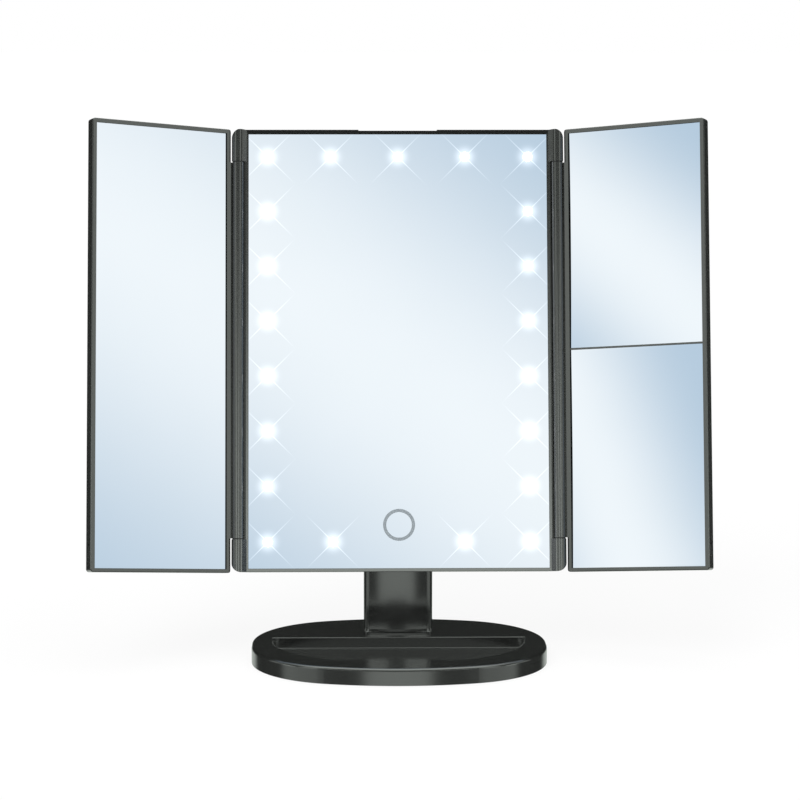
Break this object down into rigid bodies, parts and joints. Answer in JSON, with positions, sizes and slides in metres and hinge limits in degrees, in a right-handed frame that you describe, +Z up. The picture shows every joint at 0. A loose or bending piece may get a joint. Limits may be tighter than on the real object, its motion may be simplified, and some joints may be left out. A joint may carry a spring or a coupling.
{
  "type": "trifold vanity mirror",
  "caption": "Free-standing dressing-table mirror with a lit centre panel, folding side wings, a tilting neck and an oval foot with a tray.",
  "frame": {"origin": "on the table plane, under the middle of the oval foot", "axes": "+Z up, +X to the right of someone who faces the mirror, viewer on the -Y side; panel leans back, wings fold forward at rest"},
  "size_m": [0.33, 0.1302, 0.2907],
  "materials": {
    "black_abs": "satin moulded ABS",
    "silvered_glass": "silvered float glass",
    "frosted_window": "etched, unsilvered glass",
    "copper_foil": "copper foil",
    "foam_tape": "closed-cell foam tape",
    "white_board": "white solder mask",
    "lamp_case": "lamp with phosphor",
    "green_board": "green solder mask",
    "cell_can": "printed shrink sleeve, plain",
    "nickel_plate": "nickel plated",
    "zinc_screw": "zinc plated steel",
    "black_steel": "black powder coat",
    "acetal": "natural acetal",
    "foot_rubber": "soft rubber"
  },
  "bodies": {
    "base": {"foot_shell": "black_abs", "base_plate": "black_abs", "ballast_plate": "black_steel", "base_screws": "zinc_screw", "rubber_feet": "foot_rubber", "neck_front_cover": "black_abs", "neck_rear_cover": "black_abs", "neck_cover_screws": "zinc_screw", "neck_core": "black_steel", "neck_screws": "zinc_screw", "tilt_shaft": "zinc_screw", "shaft_nut": "zinc_screw", "friction_washers": "acetal"},
    "panel": {"front_frame": "black_abs", "rear_cover": "black_abs", "center_mirror": "silvered_glass", "light_windows": "frosted_window", "touch_ring": "frosted_window", "touch_pad": "copper_foil", "center_mirror_tape": "foam_tape", "light_strip_left": "white_board", "light_strip_right": "white_board", "light_strip_top": "white_board", "light_strip_bottom": "white_board", "lamp_chips": "lamp_case", "battery_box": "black_abs", "battery_cells": "cell_can", "battery_contacts": "nickel_plate", "control_board": "green_board", "power_board": "green_board", "charging_socket": "nickel_plate", "power_switch": "nickel_plate", "cover_screws": "zinc_screw", "tilt_bracket": "black_steel", "bracket_screws": "zinc_screw", "left_hinge_pins": "zinc_screw", "right_hinge_pins": "zinc_screw"},
    "left_wing": {"left_wing_frame": "black_abs", "left_wing_cover": "black_abs", "left_wing_mirror": "silvered_glass", "left_wing_tape": "foam_tape", "left_hinge_bushes": "acetal"},
    "right_wing": {"right_wing_frame": "black_abs", "right_wing_cover": "black_abs", "right_upper_mirror": "silvered_glass", "right_lower_mirror": "silvered_glass", "right_wing_tape": "foam_tape", "right_hinge_bushes": "acetal"},
    "door": {"battery_door": "black_abs"},
    "switch": {"switch_knob": "black_abs"}
  },
  "joints": [
    {"name": "tilt_hinge", "type": "hinge", "parent": "base", "child": "panel", "pos_m": [0, 0.03493, 0.06001], "axis": [-1, 0, 0], "range_deg": [-17.75, 62.25]},
    {"name": "left_wing_hinge", "type": "hinge", "parent": "panel", "child": "left_wing", "pos_m": [-0.08675, 0.02581, 0.16606], "axis": [0, 0.2207, 0.9753], "range_deg": [-27, 153]},
    {"name": "right_wing_hinge", "type": "hinge", "parent": "panel", "child": "right_wing", "pos_m": [0.08675, 0.02581, 0.16606], "axis": [0, -0.2207, -0.9753], "range_deg": [-27, 153]},
    {"name": "battery_door_hinge", "type": "hinge", "parent": "panel", "child": "door", "pos_m": [0, 0.0392, 0.12868], "axis": [-1, 0, 0], "range_deg": [0, 60]},
    {"name": "power_switch_slide", "type": "slide", "parent": "panel", "child": "switch", "axis": [0, 0.2207, 0.9753], "range_m": [0, 0.004]}
  ]
}
